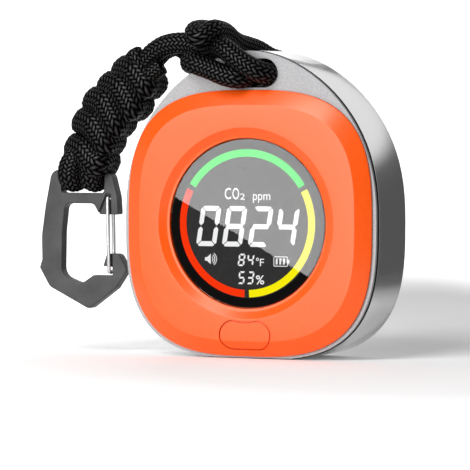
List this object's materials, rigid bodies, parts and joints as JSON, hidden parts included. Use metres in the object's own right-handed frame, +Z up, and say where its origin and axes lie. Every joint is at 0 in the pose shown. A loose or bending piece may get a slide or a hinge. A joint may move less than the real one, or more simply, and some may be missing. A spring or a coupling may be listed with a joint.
{
  "type": "carbon dioxide monitor",
  "caption": "Pocket carbon dioxide monitor: round-cornered arch case, raised orange face with a round display and push button, cord lanyard with a wire-gate carabiner.",
  "frame": {"origin": "centre of the flat base of the case, midway between the face plate's flat front and the back", "axes": "+X to the right seen from the front, +Y from the display towards the back, +Z up"},
  "size_m": [0.0923, 0.0303, 0.0816],
  "materials": {
    "silver_shell": "smooth silver paint, satin",
    "silver_face": "silver paint with a fine speckle",
    "orange_plastic": "saturated orange, satin",
    "lens_glass": "polished clear window with a black printed edge",
    "display_glass": "dark display with lit coloured figures",
    "white_plastic": "satin",
    "black_plastic": "satin",
    "steel": "satin nickel",
    "circuit_board": "green solder mask",
    "sensor_can": "satin",
    "battery_foil": "satin foil",
    "foam_rubber": "soft foam",
    "screen_cloth": "fine mesh",
    "cord": "braided nylon sheath",
    "carabiner_metal": "dark grey anodised, fine texture"
  },
  "bodies": {
    "case": {"rear_shell": "silver_shell", "front_frame": "silver_face", "face_plate": "orange_plastic", "lens_window": "lens_glass", "display_panel": "display_glass", "backlight": "white_plastic", "display_frame": "black_plastic", "tactile_switch": "steel", "main_board": "circuit_board", "co2_sensor": "sensor_can", "sensor_seal": "foam_rubber", "climate_sensor": "black_plastic", "microcontroller": "black_plastic", "buzzer": "black_plastic", "battery_cell": "battery_foil", "battery_pad": "foam_rubber", "battery_connector": "white_plastic", "dust_screen": "screen_cloth", "usb_socket": "steel", "board_screw_1": "steel", "board_screw_2": "steel", "board_screw_3": "steel", "board_screw_4": "steel", "case_screw_1": "steel", "case_screw_2": "steel", "case_screw_3": "steel", "case_screw_4": "steel", "lanyard_cord": "cord"},
    "button": {"button_cap": "orange_plastic"},
    "lanyard": {"lanyard_weave": "cord", "lanyard_loop_1": "cord", "lanyard_loop_2": "cord"},
    "carabiner": {"carabiner_frame": "carabiner_metal"},
    "gate": {"wire_gate": "steel"}
  },
  "joints": [
    {"name": "button_press", "type": "slide", "parent": "case", "child": "button", "axis": [0, 1, 0], "range_m": [0, 0.0006], "stiffness_N_per_m": 600, "springref_m": -0.0003},
    {"name": "lanyard_swing", "type": "hinge", "parent": "case", "child": "lanyard", "pos_m": [-0.0313, -0.003, 0.0693], "axis": [0, 1, 0], "range_deg": [0, 60]},
    {"name": "carabiner_swing", "type": "hinge", "parent": "lanyard", "child": "carabiner", "pos_m": [-0.047, -0.003, 0.0447], "axis": [1, 0, 0], "range_deg": [-60, 60]},
    {"name": "gate_open", "type": "hinge", "parent": "carabiner", "child": "gate", "pos_m": [-0.04, -0.003, 0.0388], "axis": [0, 1, 0], "range_deg": [0, 25], "stiffness_Nm_per_rad": 0.02, "springref_deg": -11.46}
  ]
}
